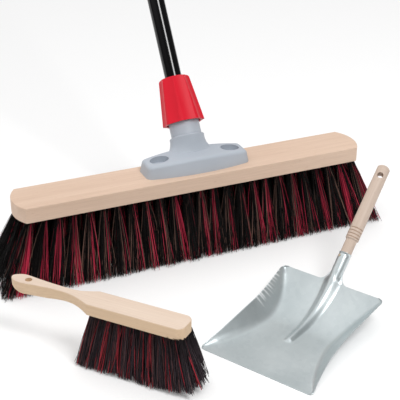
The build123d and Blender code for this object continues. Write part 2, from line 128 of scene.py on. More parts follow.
def rescale(material, value, span=(0.0, 1.0), to=(0.0, 1.0)):
    """Moves a value from one span to another and stops at its ends."""
    ends = {"From Min": span[0], "From Max": span[1], "To Min": to[0], "To Max": to[1]}
    return add(material, "ShaderNodeMapRange", {"Value": value, **ends}).outputs["Result"]


def larger(material, first, second):
    """The larger one of two values."""
    return add(material, "ShaderNodeMath", {0: first, 1: second}, operation="MAXIMUM").outputs[0]


# %% [markdown]
# Colours come from a ramp or from a mix of two others. A Mix node keeps sockets for every kind of data,
# and 0, 6 and 7 are the ones for colours. The last two helpers give a surface its relief and a CAD node
# its material.


# %% Colour helpers
def ramp(material, factor, stops, interpolation="LINEAR"):
    """A colour ramp through (place, colour) stops."""
    node = add(material, "ShaderNodeValToRGB", {"Fac": factor})
    node.color_ramp.interpolation = interpolation
    elements = node.color_ramp.elements
    while len(elements) < len(stops):
        elements.new(0.5)
    for element, (place, colour) in zip(elements, stops):
        element.position = place
        element.color = (*colour, 1.0)
    return node.outputs["Color"]


def mix_colour(material, factor, first, second, blend="MIX"):
    """A mix of two colours."""
    inputs = {0: factor, 6: first, 7: second}
    return add(material, "ShaderNodeMix", inputs, data_type="RGBA", blend_type=blend).outputs[2]


def bump(material, shader, height, strength, distance):
    """Low relief from a height."""
    node = add(material, "ShaderNodeBump", {"Height": height, "Strength": strength, "Distance": distance})
    link(material, node.outputs["Normal"], shader.inputs["Normal"])


def dress(node_name, material):
    """Gives a CAD node its material. The node itself stays as it is."""
    node = nodes[node_name]
    node.data.materials.clear()
    node.data.materials.append(material)
    print(node_name, "wears", material.name)


# %% [markdown]
# ## Floor
#
# The photograph has a white ground with a soft contact shadow. The floor is a plain white sheet that
# glows a little for the camera and in reflections only. It shows white without throwing more light on
# the object, and the shadow of the bristles stays on it.


# %% Floor
def seen_directly(material):
    """1 for rays from the camera, from a mirror and through glass, 0 for light that bounces about."""
    path = add(material, "ShaderNodeLightPath").outputs
    mirror_or_glass = larger(material, path["Is Glossy Ray"], path["Is Transmission Ray"])
    return larger(material, path["Is Camera Ray"], mirror_or_glass)


white = (1, 1, 1, 1)
studio_half = 60.0
floor_level = -0.0002
floor_tone = 0.88
floor_glow_level = 0.12
corner_signs = ((-1, -1), (1, -1), (1, 1), (-1, 1))
corners = [(x * studio_half, y * studio_half, floor_level) for x, y in corner_signs]
floor_mesh = bpy.data.meshes.new("studio_floor")
floor_mesh.from_pydata(corners, [], [(0, 1, 2, 3)])
studio_floor = bpy.data.objects.new("studio_floor", floor_mesh)
bpy.context.collection.objects.link(studio_floor)

floor_white, floor_shader = new_material(
    "floor_white", Base_Color=(floor_tone, floor_tone, floor_tone, 1), Roughness=0.9,
    Specular_IOR_Level=0.0, Emission_Color=white,
)
floor_glow = rescale(floor_white, seen_directly(floor_white), to=(0.0, floor_glow_level))
link(floor_white, floor_glow, floor_shader.inputs["Emission Strength"])
floor_mesh.materials.append(floor_white)
print("floor of", 2 * studio_half, "m")

# %% [markdown]
# ## Studio light
#
# The room is white above and behind the set and darker in front and to the right. Shiny metal needs
# that: the pan's floor mirrors the bright part, its left wall mirrors the dark part, and so the two stand
# apart. Black paint needs it too, because a tube shows every bright wall around it. A window in the dark
# part, which only reflections see, gives the pan's rib a bright flank.

# %% World
world = bpy.data.worlds.new("white_room")
world.use_nodes = True
scene.world = world
bright_side = (-0.25, 0.43, 0.87)
window_side = (0.12, -0.76, 0.64)
room_level, room_dark = 1.08, 0.16
mirror_dark, window_level = 0.12, 0.55
room_span, mirror_span, window_span = (0.1, 0.72), (0.46, 0.84), (0.90, 0.96)
heading = add(world, "ShaderNodeTexCoord").outputs["Generated"]


def nearness(side):
    """How nearly a ray heads to a side of the room: 1 straight at it, -1 straight away from it."""
    inputs = {0: heading, 1: Vector(side).normalized()}
    return add(world, "ShaderNodeVectorMath", inputs, operation="DOT_PRODUCT").outputs["Value"]


to_bright = nearness(bright_side)
room = rescale(world, to_bright, room_span, (room_dark * room_level, room_level))
mirrored = rescale(world, to_bright, mirror_span, (mirror_dark, 1.0))
window = rescale(world, nearness(window_side), window_span, (0.0, window_level))
camera_ray = add(world, "ShaderNodeLightPath").outputs["Is Camera Ray"]
shown = larger(world, larger(world, mirrored, window), camera_ray)
sky_level = rescale(world, seen_directly(world), to=(room, shown))
sky = world.node_tree.nodes["Background"]
sky.inputs["Color"].default_value = white
link(world, sky_level, sky.inputs["Strength"])
print("room light from", room_dark * room_level, "to", room_level)

# %% [markdown]
# One tall lamp in front of the set gives the shape, and draws the fine white line along the handle. It
# is an area lamp, because a large source close by throws soft shadows.

# %% Lamp
lamp_place = Vector((0.27, -1.57, 2.05))
lamp_target = Vector((0.0, -0.2, 0.15))
lamp_power, lamp_width, lamp_height = 25, 0.66, 0.84
lamp_data = bpy.data.lights.new("key_lamp", "AREA")
lamp_data.energy = lamp_power
lamp_data.shape = "RECTANGLE"
lamp_data.size, lamp_data.size_y = lamp_width, lamp_height
key_lamp = bpy.data.objects.new("key_lamp", lamp_data)
key_lamp.location = lamp_place
key_lamp.rotation_euler = (lamp_target - lamp_place).to_track_quat("-Z", "Y").to_euler()
bpy.context.collection.objects.link(key_lamp)
print("lamp of", lamp_data.energy, "W")

# %% [markdown]
# ## Beech
#
# The broom's block, the brush's stock and the pan's grip are unvarnished beech: a pale ground, faint
# long bands, fine fibres and the short dark dashes that make beech easy to know. All of that runs along
# the piece, so the texture space is turned until its X axis lies along the grain and then stretched.
# One function makes the wood, and each piece gives its own direction and tone.

# %% Beech
plain = (1, 1, 1)
fibre_shade = (0.88, 0.86, 0.84)
band_stretch, fibre_stretch, dash_stretch = (2.5, 45.0), (14.0, 700.0), (90.0, 900.0)


def beech(name, along, light, dark, dash, side=plain):
    """Wood with its grain along a direction, and painted shade in a warmer tone on upright faces.

    Returns the material, its shader and its grain space.
    """
    material, shader = new_material(name, Roughness=0.55, Specular_IOR_Level=0.3)
    turn = Vector(along).to_track_quat("X", "Z").inverted().to_euler()
    place = object_space(material)
    grain = add(material, "ShaderNodeMapping", {"Vector": place, "Rotation": turn}).outputs["Vector"]

    def stretched(stretch):
        scale = (stretch[0], stretch[1], stretch[1])
        return add(material, "ShaderNodeMapping", {"Vector": grain, "Scale": scale}).outputs["Vector"]

    bands = noise(material, stretched(band_stretch), detail=3.0, Distortion=0.6)
    fibres = noise(material, stretched(fibre_stretch), detail=5.0, Roughness=0.6)
    dashes = noise(material, stretched(dash_stretch), detail=1.0)
    ground = ramp(material, bands, [(0.3, light), (0.7, dark)])
    fibre_tone = ramp(material, fibres, [(0.3, fibre_shade), (0.65, plain)])
    wood = mix_colour(material, 0.8, ground, fibre_tone, "MULTIPLY")
    dash_place = ramp(material, dashes, [(0.68, (0, 0, 0)), (0.80, plain)])
    wood = mix_colour(material, dash_place, wood, (*dash, 1.0))
    # Painted shade: upright faces are multiplied by the side tone, while tops keep the plain wood.
    facing = add(material, "ShaderNodeNewGeometry").outputs["True Normal"]
    facing_up = add(material, "ShaderNodeSeparateXYZ", {"Vector": facing}).outputs["Z"]
    painted_side_shade = ramp(material, facing_up, [(0.3, side), (0.75, plain)])
    wood = mix_colour(material, 1.0, wood, painted_side_shade, "MULTIPLY")
    link(material, wood, shader.inputs["Base Color"])
    bump(material, shader, fibres, strength=0.12, distance=0.0004)
    return material, shader, grain


# %% [markdown]
# The block lies along X. The hand brush and the pan stand turned on the floor, and the pan's grip also
# rises with the neck. The same three angles place their bristles and their sheet further down.

# %% Block and stock
brush_turn = radians(-49.3)
pan_turn = radians(-59.8)
pan_rise = radians(43.6)
brush_along = (cos(brush_turn), sin(brush_turn), 0.0)
grip_along = (-sin(pan_turn) * cos(pan_rise), cos(pan_turn) * cos(pan_rise), sin(pan_rise))

block_beech, _, _ = beech(
    "block_beech", (1, 0, 0),
    light=(0.785, 0.59, 0.46), dark=(0.715, 0.52, 0.395), dash=(0.60, 0.40, 0.28),
)
# The stock's side tone is painted shade: its upright faces come out warmer and darker than its top.
stock_beech, _, _ = beech(
    "stock_beech", brush_along,
    light=(0.775, 0.635, 0.525), dark=(0.73, 0.58, 0.465), dash=(0.65, 0.49, 0.375),
    side=(1.0, 0.91, 0.75),
)
dress("broom_block", block_beech)
dress("brush_stock", stock_beech)

# %% [markdown]
# The pan's grip is turned with four grooves, and its colour is darker in a narrow ring at each of them.
# Their places along the grip are known, so the colour is darkened by the distance along the grain.

# %% Turned grip
grip_start = Vector((0.15246, -0.38704, 0.07118))
groove_count, groove_first, groove_gap, groove_half = 4, 26.5, 5.0, 1.1
groove_zone = 50.0
groove_tone = (0.70, 0.57, 0.48)
grip_beech, grip_shader, grip_grain = beech(
    "turned_beech", grip_along,
    light=(0.68, 0.555, 0.47), dark=(0.62, 0.495, 0.41), dash=(0.54, 0.415, 0.33),
)
grip_base = grip_start.dot(Vector(grip_along))
grip_distance = add(grip_beech, "ShaderNodeSeparateXYZ", {"Vector": grip_grain}).outputs["X"]
zone = rescale(grip_beech, grip_distance, (grip_base, grip_base + groove_zone * mm))
groove_stops = [(0.0, plain)]
for k in range(groove_count):
    middle = groove_first + groove_gap * k
    for shift, tone in ((-groove_half, plain), (0.0, groove_tone), (groove_half, plain)):
        groove_stops.append(((middle + shift) / groove_zone, tone))
grooves = ramp(grip_beech, zone, groove_stops)
plain_wood = grip_shader.inputs["Base Color"].links[0].from_socket
turned = mix_colour(grip_beech, 1.0, plain_wood, grooves, "MULTIPLY")
link(grip_beech, turned, grip_shader.inputs["Base Color"])
dress("pan_grip", grip_beech)

# %% [markdown]
# ## Plastic, paint and small metal
#
# The socket is satin moulded plastic, the nut a glossier red one, and the handle a steel tube with gloss
# black paint. Moulded plastic is never quite even: the mould leaves a fine grain that shows in the
# roughness and as a very low relief. Paint on a tube has a slight ripple instead, and the heads of the
# screws and the nail are metal with a grain of their own, so one function serves them all.

# %% Moulded and painted finishes
least_rough, most_rough = 0.85, 1.15


def moulded(name, colour, shade, roughness, shine, grain_scale, relief, metallic=0.0):
    """A hard finish with a slightly uneven colour and a fine grain."""
    material, shader = new_material(name, Specular_IOR_Level=shine, Metallic=metallic)
    place = object_space(material)
    cloud = noise(material, place, detail=2.0, scale=18.0)
    grain = noise(material, place, detail=3.0, scale=grain_scale)
    tone = ramp(material, cloud, [(0.3, colour), (0.7, shade)])
    link(material, tone, shader.inputs["Base Color"])
    rough = rescale(material, grain, to=(least_rough * roughness, most_rough * roughness))
    link(material, rough, shader.inputs["Roughness"])
    bump(material, shader, grain, strength=0.15, distance=relief)
    return material


finishes = {
    "handle_socket": moulded(
        "socket_grey", (0.475, 0.515, 0.57), (0.45, 0.49, 0.545),
        roughness=0.45, shine=0.3, grain_scale=900.0, relief=0.00008),
    "clamp_nut": moulded(
        "nut_red", (0.74, 0.011, 0.03), (0.69, 0.009, 0.026),
        roughness=0.42, shine=0.2, grain_scale=700.0, relief=0.00006),
    "handle_hanger_cap": moulded(
        "cap_black", (0.02, 0.02, 0.021), (0.014, 0.014, 0.015),
        roughness=0.5, shine=0.3, grain_scale=900.0, relief=0.00008),
    "broom_handle": moulded(
        "handle_black", (0.002, 0.002, 0.0025), (0.0015, 0.0015, 0.002),
        roughness=0.06, shine=0.5, grain_scale=60.0, relief=0.000004),
    "socket_screws": moulded(
        "screw_zinc", (0.5, 0.51, 0.52), (0.42, 0.43, 0.45),
        roughness=0.4, shine=0.5, grain_scale=500.0, relief=0.00003, metallic=1.0),
    "pan_grip_nail": moulded(
        "nail_brass", (0.82, 0.70, 0.54), (0.76, 0.63, 0.47),
        roughness=0.4, shine=0.5, grain_scale=500.0, relief=0.00003, metallic=1.0),
}
for node_name, finish in finishes.items():
    dress(node_name, finish)

# %% [markdown]
# ## Bristles
#
# A tuft is a bundle of stiff bristles that is folded in half and stapled into a drilled hole. Below the
# block it fans out, and single bristles cross over to the next tufts. Hair particles could make this,
# but here every bristle is a thin three-sided tube in one mesh per row: it keeps its exact place in the
# row of holes, it exports as it is, and a row is still only a few tens of thousands of faces.
#
# Each bristle carries a UV column of its own. The u value picks the bristle's colour from a chart of
# two blacks, two reds and a brown, and v runs from the root to the tip, with painted shade at the root.

# %% Bristle material
light_black_from, red_from, dark_red_from, brown_from = 0.3, 0.6, 0.75, 0.85
light_black_gain, dark_red_gain = 1.9, 0.55
painted_root_shade = (0.3, 0.3, 0.3)


def bristle_material(name, black, red, brown):
    """A chart of bristle colours along u, darker towards the root along v, which is painted shade."""
    material, shader = new_material(name, Roughness=0.42, Specular_IOR_Level=0.15)
    chart = add(material, "ShaderNodeUVMap", uv_map="bristle_chart").outputs["UV"]
    column = add(material, "ShaderNodeSeparateXYZ", {"Vector": chart}).outputs
    stops = [
        (0.0, black),
        (light_black_from, tuple(light_black_gain * c for c in black)),
        (red_from, red),
        (dark_red_from, tuple(dark_red_gain * c for c in red)),
        (brown_from, brown),
    ]
    colour = ramp(material, column["X"], stops, "CONSTANT")
    # Painted shade: the colour darkens towards the roots, where the bristles crowd under the block.
    root_shade = ramp(material, column["Y"], [(0.0, painted_root_shade), (0.5, plain)])
    colour = mix_colour(material, 1.0, colour, root_shade, "MULTIPLY")
    link(material, colour, shader.inputs["Base Color"])
    return material


broom_bristle = bristle_material(
    "broom_fibre", black=(0.006, 0.005, 0.005), red=(0.72, 0.045, 0.1), brown=(0.27, 0.15, 0.12)
)
brush_bristle = bristle_material(
    "brush_fibre", black=(0.030, 0.022, 0.026), red=(0.42, 0.035, 0.05), brown=(0.16, 0.075, 0.075)
)
print("bristle materials:", broom_bristle.name, brush_bristle.name)

# %% [markdown]
# The mesh of a row is built with numpy: all bristles at once are an array of centre lines, and each ring
# of a tube is the centre line moved out in three directions. The bend of a bristle is a parabola between
# its root and its tip. The directions of a ring start from a slant that no bristle runs along.

# %% Bristle tubes
ring_sides = 3
ring_taper = np.array([1.0, 1.0, 1.0, 1.0, 0.85])
ring_slant = (0.31, 0.95, 0.05)


def bristle_points(roots, tips, bends, radii):
    """The points of all rings of all bristles."""
    share = np.linspace(0.0, 1.0, len(ring_taper))[None, :, None]
    straight = roots[:, None] * (1 - share) + tips[:, None] * share
    centre = straight + bends[:, None] * 4 * share * (1 - share)
    run = tips - roots
    run /= np.linalg.norm(run, axis=1, keepdims=True)
    across = np.cross(run, ring_slant)
    across /= np.linalg.norm(across, axis=1, keepdims=True)
    other = np.cross(run, across)
    angle = (np.arange(ring_sides) * 2 * pi / ring_sides)[None, :, None]
    ring = across[:, None] * np.cos(angle) + other[:, None] * np.sin(angle)
    offset = ring[:, None] * (radii[:, None] * ring_taper[None])[:, :, None, None]
    return (centre[:, :, None] + offset).reshape(-1, 3)


def bristle_faces(count):
    """Four-sided faces between the rings of each bristle."""
    rings = len(ring_taper)
    bristle = (np.arange(count) * rings * ring_sides)[:, None, None]
    ring = (np.arange(rings - 1) * ring_sides)[None, :, None]
    first = np.arange(ring_sides)[None, None]
    second = (first + 1) % ring_sides
    low = bristle + ring
    high = low + ring_sides
    return np.stack([low + first, low + second, high + second, high + first], axis=-1).reshape(-1, 4)


# %% [markdown]
# Points and faces become a mesh, and the UV map gives every ring of a bristle the same column. Smooth
# shading makes three sides look round.


# %% Bristle mesh
def bristle_mesh(name, roots, tips, bends, radii, columns):
    """One mesh of tubes from root to tip points, with a UV column for each."""
    rings = len(ring_taper)
    points = bristle_points(roots, tips, bends, radii)
    quads = bristle_faces(len(roots))
    mesh = bpy.data.meshes.new(name)
    mesh.from_pydata(points.tolist(), [], quads.tolist())
    chart = mesh.uv_layers.new(name="bristle_chart")
    u = np.repeat(columns, rings * ring_sides)
    v = np.tile(np.repeat(np.linspace(0.0, 1.0, rings), ring_sides), len(roots))
    uv = np.stack([u, v], axis=-1)[quads.reshape(-1)]
    chart.data.foreach_set("uv", uv.reshape(-1).astype(np.float32))
    mesh.polygons.foreach_set("use_smooth", np.ones(len(quads), dtype=bool))
    return mesh


# %% [markdown]
# The red bristles were fed into the bundle together, so they stay together on the tuft's outer side,
# with a few loose ones elsewhere, and thin brown ones are mixed in. A colour is a range of chart columns
# that keeps clear of the chart's steps.

# %% Colours in a tuft
chart_range = {"black": (0.0, 0.588), "red": (0.602, 0.848), "brown": (0.852, 0.992)}
bundle_stray = 0.35
loose_red = 0.09
brown_part, brown_side = 0.13, 0.1


def chart_columns(random, count, colour):
    """Chart columns for bristles of one colour."""
    low, high = chart_range[colour]
    return low + random.random(count) * (high - low)


def tuft_colours(random, disc, side, red_part, make):
    """Which bristles of a tuft are red and which brown, and the chart column of each."""
    count = len(disc)
    bundle = (random.normal(0, bundle_stray), side * make["red_place"])
    near_bundle = np.linalg.norm(disc - bundle, axis=1) < make["red_radius"]
    chance = random.random(count)
    red = (near_bundle & (chance < red_part)) | (chance < loose_red * red_part)
    brown = (~red) & (side * disc[:, 1] > brown_side) & (random.random(count) < brown_part)
    columns = chart_columns(random, count, "black")
    columns[red] = chart_columns(random, red.sum(), "red")
    columns[brown] = chart_columns(random, brown.sum(), "brown")
    return red, brown, columns


# %% [markdown]
# Two kinds of tuft differ only in their values. Lengths are in millimetres: the radius of the hole, the
# half size of the fan at the floor, how far tips stray, how uneven they are and how much a bristle bends.
# The place and radius of the red bundle are shares of the hole, pull is how far tips draw together, flare
# is how far they spread outwards, and the last values say how red and brown bristles differ from the rest.

# %% Kinds of tuft
broom_tuft = {
    "count": 100, "root_radius": 4.2, "tip_along": 13.0, "tip_across": 10.0,
    "stray": 1.5, "ragged": 0.4, "bend": 2.0, "pull": 0.12, "flare": 0.0,
    "red_place": 0.6, "red_radius": 0.36, "red_stray": 1.5, "red_drift": 5.0, "brown_stray": 4.2,
}
brush_tuft = {
    "count": 150, "root_radius": 6.0, "tip_along": 8.0, "tip_across": 7.2,
    "stray": 2.0, "ragged": 1.5, "bend": 1.3, "pull": 0.15, "flare": 0.0,
    "red_place": 1.0, "red_radius": 0.5, "red_stray": 2.6, "red_drift": 0.0, "brown_stray": 1.6,
}
print("bristles in a tuft:", broom_tuft["count"], "and", brush_tuft["count"])

# %% [markdown]
# Inside a tuft the bristles keep their order: one that starts on the left side of the hole ends on the
# left side of the fan. The tips draw together into a few small clumps of uneven length. In the broom,
# brown bristles stray far across their neighbours, red ones drift a little to the right, and at the
# outer rows the tips flare out over the floor.

# %% Places in a tuft
clumps_in_tuft = 5
fan_power = 0.7
longest_stray, across_stray = 1.8, 0.45
longest_flare = 3.2
single_ragged = 0.7
bend_share = (1, 1, 0.2)


def tuft_bristles(random, root, tip, row_turn, side, red_part, widen, make):
    """Root and tip points, bends and chart columns of one tuft. Red bristles sit on the given side."""
    count = make["count"]
    spot = np.sqrt(random.random(count))
    turn = random.random(count) * 2 * pi
    disc = np.stack([spot * np.cos(turn), spot * np.sin(turn)], axis=-1)
    red, brown, columns = tuft_colours(random, disc, side, red_part, make)

    square = disc / np.maximum(np.abs(np.cos(turn)), np.abs(np.sin(turn)))[:, None]
    leader = np.argmin(np.linalg.norm(disc[:, None] - disc[None, :clumps_in_tuft], axis=2), axis=1)
    fan = square * (1 - make["pull"]) + square[leader] * make["pull"]
    fan[:, 1] = np.sign(fan[:, 1]) * np.abs(fan[:, 1]) ** fan_power
    stray = make["stray"] * np.select([red, brown], [make["red_stray"], make["brown_stray"]], 1.0)
    wander = np.clip(random.normal(0, 1.0, (count, 2)), -longest_stray, longest_stray)
    clump_level = np.abs(random.normal(0, make["ragged"], clumps_in_tuft))
    flare = np.minimum(random.exponential(1.0, count), longest_flare)
    single_level = np.abs(random.normal(0, single_ragged * make["ragged"], count))
    bends = random.normal(0, make["bend"], (count, 3)) * bend_share

    offset = fan * (make["tip_along"] * widen, make["tip_across"] * sqrt(widen))
    offset += wander * stray[:, None] * (1.0, across_stray)
    offset[:, 0] += make["red_drift"] * red
    offset[:, 1] += side * make["flare"] * flare
    to_row = np.array([[cos(row_turn), sin(row_turn)], [-sin(row_turn), cos(row_turn)]])
    roots = np.empty((count, 3))
    roots[:, :2] = np.asarray(root[:2]) + disc * make["root_radius"] * sqrt(widen) @ to_row
    roots[:, 2] = root[2]
    tips = np.empty((count, 3))
    tips[:, :2] = np.asarray(tip[:2]) + offset @ to_row
    tips[:, 2] = tip[2] + clump_level[leader] + single_level
    return roots, tips, bends, columns


# %% [markdown]
# A row of tufts is one piece. It rides on the body of its broom or brush and stands for the row of plain
# tufts in the CAD model.


# %% Row of tufts
def spread(count, gap):
    """Places of a row of things, evenly spaced about zero."""
    return [(k - (count - 1) / 2) * gap for k in range(count)]


def bristle_row(name, tufts, radii_by_colour, material, body, replaced):
    """Joins the tufts of a row into one piece that rides a body and takes the place of a CAD node."""
    roots, tips, bends, columns = (np.concatenate(values) for values in zip(*tufts))
    black_radius, red_radius, brown_radius = radii_by_colour
    is_black, is_red = columns < red_from, columns < brown_from
    radii = np.select([is_black, is_red], [black_radius, red_radius], brown_radius)
    mesh = bristle_mesh(name, roots * mm, tips * mm, bends * mm, radii * mm, columns)
    mesh.materials.append(material)
    piece = bpy.data.objects.new(name, mesh)
    bpy.context.collection.objects.link(piece)
    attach(piece, body)
    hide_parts(replaced)
    print(name, len(roots), "bristles", len(mesh.polygons), "faces")


# %% [markdown]
# Where the broom's tufts stand follows the block's drilling: rows across, a pitch along, every second
# row one tuft shorter, and a lean outwards that grows towards the ends. The shorter rows lean further
# there, so that all rows end together. More red shows towards the ends, and the outer rows are fuller,
# because they are the ones that show.

# %% Broom bristles
broom_middle = (5.1127, -143.85)
broom_trim, root_depth, tip_gap = 112.3, 2.0, 0.7
broom_rows, broom_outer_y = 5, 28.0
broom_pitch, broom_full = 23.4, 25
broom_end_x = (broom_full - 1) / 2 * broom_pitch
broom_side_lean, broom_left_lean, broom_right_lean = 18.0, 40.0, 33.0
broom_end_widen = 0.35
broom_red_parts = (0.18, 0.36, 0.6)
red_middle, red_end_gain = 0.78, 0.9
broom_radii = (0.42, 0.48, 0.32)
outer_tuft = {**broom_tuft, "count": 250, "flare": 3.0}
broom_seed = 7

random = np.random.default_rng(broom_seed)
for row, y in enumerate(spread(broom_rows, broom_outer_y / 2), 1):
    tufts = []
    make = outer_tuft if row in (1, broom_rows) else broom_tuft
    places = spread(broom_full - (row - 1) % 2, broom_pitch)
    row_short = broom_end_x - places[-1]
    side = 1 if y > 0 else -1
    for x in places:
        out = (x / places[-1]) ** 3
        end_lean = row_short + (broom_right_lean if x > 0 else broom_left_lean)
        root = (broom_middle[0] + x, broom_middle[1] + y, broom_trim + root_depth)
        tip = (root[0] + end_lean * out, root[1] + broom_side_lean * y / broom_outer_y, tip_gap)
        red_part = random.choice(broom_red_parts) * (red_middle + red_end_gain * abs(out))
        widen = 1 + broom_end_widen * abs(out)
        tufts.append(tuft_bristles(random, root, tip, 0.0, side, red_part, widen, make))
    bristle_row(f"broom_bristles_row_{row}", tufts, broom_radii, broom_bristle,
                "broom", f"broom_tufts_row_{row}")

# %% [markdown]
# The hand brush has the same kind of tufts, closer together. Its bristles are nearly all black, with a
# few thicker red ones, and they were cut less evenly. At the toe the tufts lean forwards, spread and
# rise a little, which rounds off the brush's end.

# %% Hand brush bristles
brush_tip = (broom_middle[0] - 339.0, broom_middle[1] - 151.2)
brush_heel, brush_toe_end = 132.0, 276.0
brush_trim = 81.6
brush_rows, brush_outer_y = 3, 11.0
brush_pitch, brush_full = 12.6, 11
brush_middle_x = (brush_heel + brush_toe_end) / 2
brush_half_run = (brush_full - 1) / 2 * brush_pitch
brush_side_lean, brush_toe_lean, brush_heel_lean = 11.0, 13.0, 16.0
short_row_lean = 2.0
brush_uneven, toe_lift = 4.5, 5.0
toe_gather, toe_widen, toe_red_loss = 0.3, 0.9, 0.5
brush_red_parts = (0.05, 0.12, 0.32)
brush_radii = (0.5, 0.7, 0.45)
brush_seed = 34


def brush_to_row(x, y, z):
    """A point of the brush, from its own frame to the row frame, in millimetres."""
    return (
        brush_tip[0] + x * cos(brush_turn) - y * sin(brush_turn),
        brush_tip[1] + x * sin(brush_turn) + y * cos(brush_turn),
        z,
    )


random = np.random.default_rng(brush_seed)
for row, y in enumerate(spread(brush_rows, brush_outer_y), 1):
    tufts = []
    places = spread(brush_full - (row - 1) % 2, brush_pitch)
    row_short = brush_half_run - places[-1]
    side = 1 if y > 0 else -1
    for x in places:
        end = x / places[-1]
        toe = max(0.0, end)
        lean_x = (brush_toe_lean + short_row_lean * row_short if x > 0 else brush_heel_lean) * end
        lean_y = brush_side_lean * y / brush_outer_y * (1 - toe_gather * toe**3)
        root = brush_to_row(brush_middle_x + x, y, brush_trim + root_depth)
        tip_level = tip_gap + brush_uneven * random.random() ** 2 + toe_lift * toe**4
        tip = brush_to_row(brush_middle_x + x + lean_x, y + lean_y, tip_level)
        red_part = random.choice(brush_red_parts) * (1 - toe_red_loss * toe**4)
        widen = 1 + toe_widen * toe**3
        tufts.append(tuft_bristles(random, root, tip, brush_turn, side, red_part, widen, brush_tuft))
    bristle_row(f"brush_bristles_row_{row}", tufts, brush_radii, brush_bristle,
                "hand_brush", f"brush_tufts_row_{row}")

# %% [markdown]
# ## The pressed pan
#
# The pan is one sheet: a flat floor that rises to the back, side walls folded up along curved lines, a
# round rib pressed into the floor, and a neck that is rolled into a tube. A grid of points can carry all
# of that: each line of the grid is a cut across the sheet, laid along the floor and its rise. A Solidify
# modifier gives the grid its thickness at the end.

# %% Pan sizes
sheet = 0.8
pan_place = (broom_middle[0] - 65.2, broom_middle[1] - 366.9)
pan_flat = 116.0
pan_bend_radius = 138.0
pan_front_half, pan_waist_half, pan_back_half = 92.5, 80.0, 87.0
front_round, back_round = 7.0, 9.0
neck_radius, neck_length = 9.5, 48.0
middle_half = 24.0
scoop_run = pan_flat + pan_bend_radius * pan_rise


def pan_to_row(x, run, level):
    """A point of the sheet, given along its floor and square to it, in the row frame in metres."""
    bend = min(max(0.0, run - pan_flat) / pan_bend_radius, pan_rise)
    straight = min(run, pan_flat)
    past = max(0.0, run - scoop_run)
    y = straight + pan_bend_radius * sin(bend) + past * cos(pan_rise) - level * sin(bend)
    z = pan_bend_radius * (1 - cos(bend)) + past * sin(pan_rise) + level * cos(bend)
    return (
        (pan_place[0] + x * cos(pan_turn) - y * sin(pan_turn)) * mm,
        (pan_place[1] + x * sin(pan_turn) + y * cos(pan_turn)) * mm,
        z * mm,
    )


print("pan floor is", round(scoop_run, 1), "mm long")

# %% [markdown]
# The rib is a round body that comes up out of the floor with a blunt nose, widens like a funnel and
# grows into the neck. A cut across it is a bell: round on top, with flanks that run out softly into the
# floor, as the press leaves them. One half wave of a cosine draws that.

# %% Rib
rib_start, rib_nose = 84.0, 7.0
rib_nose_height, rib_back_height = 3.0, 8.7
rib_nose_half, rib_back_half = 8.0, 17.0
rib_widen_power, rib_rise_power = 1.3, 0.9


def smooth_step(value):
    """0 below 0, 1 above 1 and an S curve between."""
    value = min(max(value, 0.0), 1.0)
    return value * value * (3 - 2 * value)


def bell(x, half, crown):
    """Height of a bell of a half width and crown height."""
    return crown * (0.5 + 0.5 * cos(pi * min(abs(x) / half, 1.0)))


def rib_level(x, run):
    """Height of the rib over the floor at a run along the pan."""
    share = min(max((run - rib_start) / (scoop_run - rib_start), 0.0), 1.0)
    half = rib_nose_half + (rib_back_half - rib_nose_half) * share**rib_widen_power
    crown = rib_nose_height + (rib_back_height - rib_nose_height) * share**rib_rise_power
    return bell(x, half, crown) * smooth_step((run - rib_start) / rib_nose)


print("rib crown at the back:", round(rib_level(0.0, scoop_run), 2), "mm")

# %% [markdown]
# On each side of the rib lies the open floor, and beyond the fold the wall. The wall swells up from the
# front lip and sinks again at the back. The fold is rounded by a parabola between floor and wall.

# %% Floor and wall
wall_reach, wall_rise, wall_lip = 25.0, 25.0, 0.08
reach_powers, rise_powers = (1.25, 0.85), (1.3, 0.7)
fold_soft = 7.0


def swell(share, powers):
    """A wave from 0 to 1 and back to 0 along the pan, pushed back and made fuller by its powers."""
    return sin(pi * share ** powers[0]) ** powers[1]


def pan_cut(run):
    """Floor half, reach and height of the wall, and how far the corner rounds draw the rim in."""
    share = min(run / scoop_run, 1.0)
    straight = pan_front_half + (pan_back_half - pan_front_half) * share
    top_half = straight - (straight - pan_waist_half) * 4 * share * (1 - share)
    reach = wall_reach * max(wall_lip, swell(share, reach_powers))
    height = wall_rise * max(wall_lip * share, swell(share, rise_powers))
    limit = top_half
    for from_end, radius in ((run, front_round), (scoop_run - run, back_round)):
        if from_end < radius:
            limit -= radius - sqrt(radius**2 - (radius - from_end) ** 2)
    squeeze = (limit - middle_half) / (top_half - middle_half)
    return top_half - reach, reach, height, squeeze


def fold_level(past, slope, soft):
    """Height of floor and wall at a distance past the fold line."""
    if past < -soft:
        return 0.0
    if past < soft:
        return slope * (past + soft) ** 2 / (4 * soft)
    return slope * past


print("wall at the middle:", [round(v, 1) for v in pan_cut(scoop_run / 2)[1:3]], "mm out and up")

# %% [markdown]
# Where the wall curves in towards the back there is too much metal along the rim, and the press leaves
# it standing in short ridges of uneven depth. Their places and sizes are the next draws of the hand
# brush's generator.

# %% Ridges
ridge_count, ridge_width = 11, 0.0085
ridge_first, ridge_last, ridge_shift = 0.58, 0.93, 0.008
ridge_least, ridge_most = 0.4, 0.9
ridge_places = np.linspace(ridge_first, ridge_last, ridge_count)
ridge_places += random.normal(0, ridge_shift, ridge_count)
ridge_depths = random.uniform(ridge_least, ridge_most, ridge_count)
ridge_lengths = random.uniform(ridge_least, ridge_most, ridge_count)


def wall_ridges(share, up):
    """Height of the ridges at a share of the floor's length and a share of the wall's height."""
    lift = 0.0
    for place, depth, length in zip(ridge_places, ridge_depths, ridge_lengths):
        round_top = np.exp(-(((share - place) / ridge_width) ** 2))
        lift += depth * round_top * smooth_step((up + length - 1) / length)
    return lift


print("ridges up to", round(ridge_depths.max(), 2), "mm deep")
